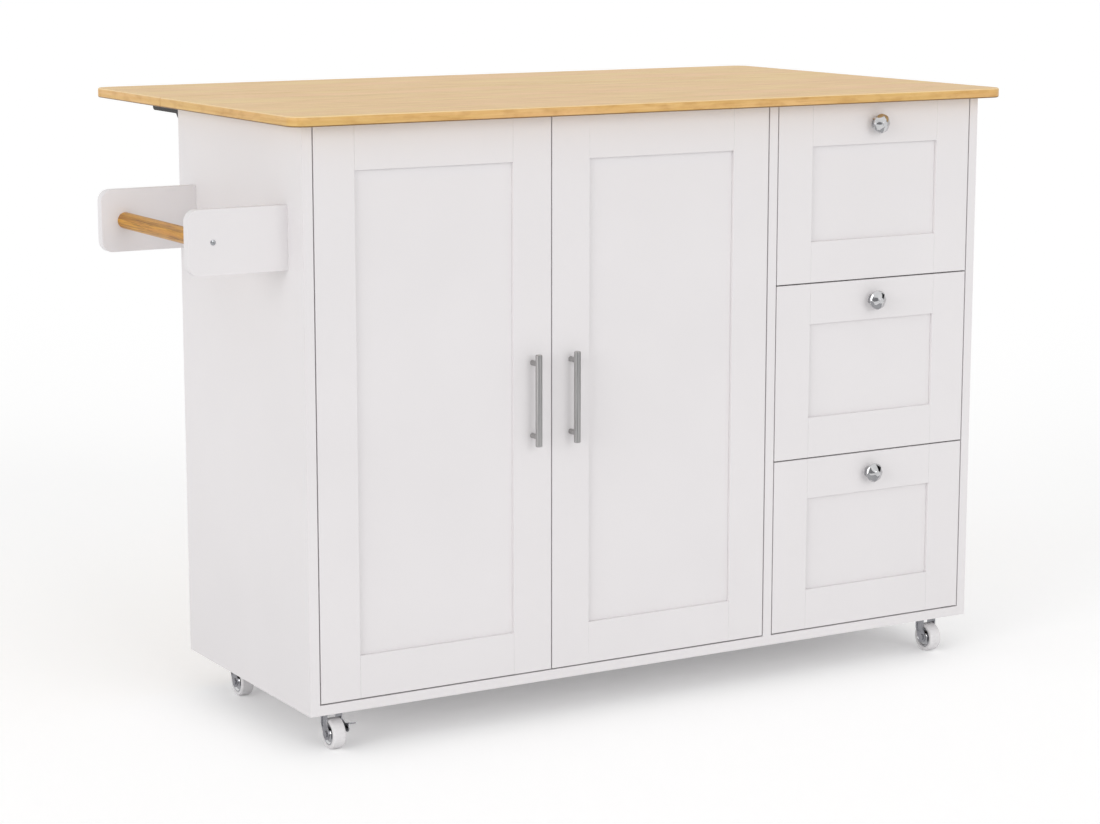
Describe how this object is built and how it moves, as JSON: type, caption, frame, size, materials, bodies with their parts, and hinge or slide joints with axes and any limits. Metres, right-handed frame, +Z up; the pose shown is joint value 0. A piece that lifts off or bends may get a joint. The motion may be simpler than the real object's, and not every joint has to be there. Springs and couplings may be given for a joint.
{
  "type": "kitchen island",
  "caption": "Rolling kitchen island with a framed two-door cupboard, a stack of drawers, a wooden worktop with a fold-down rear leaf, and a side towel rail.",
  "frame": {"origin": "on the floor under the middle of the whole object's box, towel rail and raised leaf included", "axes": "+X right along the width seen from the doors, +Y back from the doors to the leaf, +Z up"},
  "size_m": [1.354, 0.7384, 0.915],
  "materials": {
    "white_paint": "satin white paint on board",
    "worktop_wood": "satin clear lacquer",
    "rod_wood": "satin clear lacquer",
    "dowel_wood": "bare beech",
    "brushed_handle": "brushed nickel",
    "chrome_plate": "polished",
    "wheel_plastic": "satin moulded",
    "black_steel": "black powder coat",
    "zinc_steel": "zinc plated"
  },
  "bodies": {
    "carcass": {"side_panel_left": "white_paint", "side_panel_right": "white_paint", "centre_divider": "white_paint", "bottom_panel": "white_paint", "back_panel": "white_paint", "top_rails": "white_paint", "shelf": "white_paint", "shelf_pins": "zinc_steel", "panel_dowels": "dowel_wood", "worktop": "worktop_wood", "towel_bracket_front": "white_paint", "towel_bracket_rear": "white_paint", "towel_rod": "rod_wood", "towel_rack_screws": "zinc_steel", "hinge_arms": "zinc_steel", "cabinet_runners": "zinc_steel", "bracket_wall_plates": "black_steel", "caster_plates": "chrome_plate", "cabinet_screws": "zinc_steel"},
    "door_left": {"door_left_frame": "white_paint", "door_left_panel": "white_paint", "door_left_handle": "brushed_handle", "door_left_hinge_cups": "zinc_steel"},
    "door_right": {"door_right_frame": "white_paint", "door_right_panel": "white_paint", "door_right_handle": "brushed_handle", "door_right_hinge_cups": "zinc_steel"},
    "drawer_top": {"drawer_top_frame": "white_paint", "drawer_top_panel": "white_paint", "drawer_top_box": "white_paint", "drawer_top_base": "white_paint", "drawer_top_knob": "chrome_plate", "drawer_top_runners": "zinc_steel"},
    "drawer_middle": {"drawer_middle_frame": "white_paint", "drawer_middle_panel": "white_paint", "drawer_middle_box": "white_paint", "drawer_middle_base": "white_paint", "drawer_middle_knob": "chrome_plate", "drawer_middle_runners": "zinc_steel"},
    "drawer_bottom": {"drawer_bottom_frame": "white_paint", "drawer_bottom_panel": "white_paint", "drawer_bottom_box": "white_paint", "drawer_bottom_base": "white_paint", "drawer_bottom_knob": "chrome_plate", "drawer_bottom_runners": "zinc_steel"},
    "leaf": {"drop_leaf": "worktop_wood", "bracket_arms": "black_steel", "leaf_screws": "zinc_steel"},
    "strut_left": {"bracket_strut_left": "black_steel"},
    "strut_right": {"bracket_strut_right": "black_steel"},
    "swivel_front_left": {"caster_fork_front_left": "chrome_plate"},
    "wheel_front_left": {"caster_wheel_front_left": "wheel_plastic"},
    "swivel_front_right": {"caster_fork_front_right": "chrome_plate"},
    "wheel_front_right": {"caster_wheel_front_right": "wheel_plastic"},
    "swivel_rear_left": {"caster_fork_rear_left": "chrome_plate"},
    "wheel_rear_left": {"caster_wheel_rear_left": "wheel_plastic"},
    "swivel_rear_right": {"caster_fork_rear_right": "chrome_plate"},
    "wheel_rear_right": {"caster_wheel_rear_right": "wheel_plastic"},
    "brake_front_left": {"brake_lever_front_left": "chrome_plate"},
    "brake_rear_right": {"brake_lever_rear_right": "chrome_plate"}
  },
  "joints": [
    {"name": "door_left_hinge", "type": "hinge", "parent": "carcass", "child": "door_left", "pos_m": [-0.51, -0.33725, 0.4875], "axis": [0, 0, -1], "range_deg": [0, 90]},
    {"name": "door_right_hinge", "type": "hinge", "parent": "carcass", "child": "door_right", "pos_m": [0.2495, -0.33725, 0.4875], "axis": [0, 0, 1], "range_deg": [0, 90]},
    {"name": "drawer_top_slide", "type": "slide", "parent": "carcass", "child": "drawer_top", "axis": [0, -1, 0], "range_m": [0, 0.26]},
    {"name": "drawer_middle_slide", "type": "slide", "parent": "carcass", "child": "drawer_middle", "axis": [0, -1, 0], "range_m": [0, 0.26]},
    {"name": "drawer_bottom_slide", "type": "slide", "parent": "carcass", "child": "drawer_bottom", "axis": [0, -1, 0], "range_m": [0, 0.26]},
    {"name": "leaf_fold", "type": "hinge", "parent": "carcass", "child": "leaf", "pos_m": [0.061, 0.10875, 0.89], "axis": [-1, 0, 0], "range_deg": [0, 90]},
    {"name": "strut_left_pivot", "type": "hinge", "parent": "leaf", "child": "strut_left", "pos_m": [-0.475, 0.20875, 0.89], "axis": [1, 0, 0], "range_deg": [0, 135]},
    {"name": "strut_right_pivot", "type": "hinge", "parent": "leaf", "child": "strut_right", "pos_m": [0.597, 0.20875, 0.89], "axis": [1, 0, 0], "range_deg": [0, 135]},
    {"name": "swivel_front_left_turn", "type": "hinge", "parent": "carcass", "child": "swivel_front_left", "pos_m": [-0.477, -0.28125, 0.055], "axis": [0, 0, 1], "continuous": true},
    {"name": "wheel_front_left_spin", "type": "hinge", "parent": "swivel_front_left", "child": "wheel_front_left", "pos_m": [-0.477, -0.30725, 0.0225], "axis": [1, 0, 0], "continuous": true},
    {"name": "swivel_front_right_turn", "type": "hinge", "parent": "carcass", "child": "swivel_front_right", "pos_m": [0.599, -0.28125, 0.055], "axis": [0, 0, 1], "continuous": true},
    {"name": "wheel_front_right_spin", "type": "hinge", "parent": "swivel_front_right", "child": "wheel_front_right", "pos_m": [0.599, -0.30725, 0.0225], "axis": [1, 0, 0], "continuous": true},
    {"name": "swivel_rear_left_turn", "type": "hinge", "parent": "carcass", "child": "swivel_rear_left", "pos_m": [-0.477, 0.03975, 0.055], "axis": [0, 0, 1], "continuous": true},
    {"name": "wheel_rear_left_spin", "type": "hinge", "parent": "swivel_rear_left", "child": "wheel_rear_left", "pos_m": [-0.477, 0.01375, 0.0225], "axis": [1, 0, 0], "continuous": true},
    {"name": "swivel_rear_right_turn", "type": "hinge", "parent": "carcass", "child": "swivel_rear_right", "pos_m": [0.599, 0.03975, 0.055], "axis": [0, 0, 1], "continuous": true},
    {"name": "wheel_rear_right_spin", "type": "hinge", "parent": "swivel_rear_right", "child": "wheel_rear_right", "pos_m": [0.599, 0.01375, 0.0225], "axis": [1, 0, 0], "continuous": true},
    {"name": "brake_front_left_press", "type": "hinge", "parent": "swivel_front_left", "child": "brake_front_left", "pos_m": [-0.464, -0.30025, 0.04], "axis": [1, 0, 0], "range_deg": [0, 10]},
    {"name": "brake_rear_right_press", "type": "hinge", "parent": "swivel_rear_right", "child": "brake_rear_right", "pos_m": [0.612, 0.02075, 0.04], "axis": [1, 0, 0], "range_deg": [0, 10]}
  ],
  "couplings": [
    {"joint": "strut_left_pivot", "follows": "leaf_fold", "ratio": 1.5},
    {"joint": "strut_right_pivot", "follows": "leaf_fold", "ratio": 1.5}
  ]
}
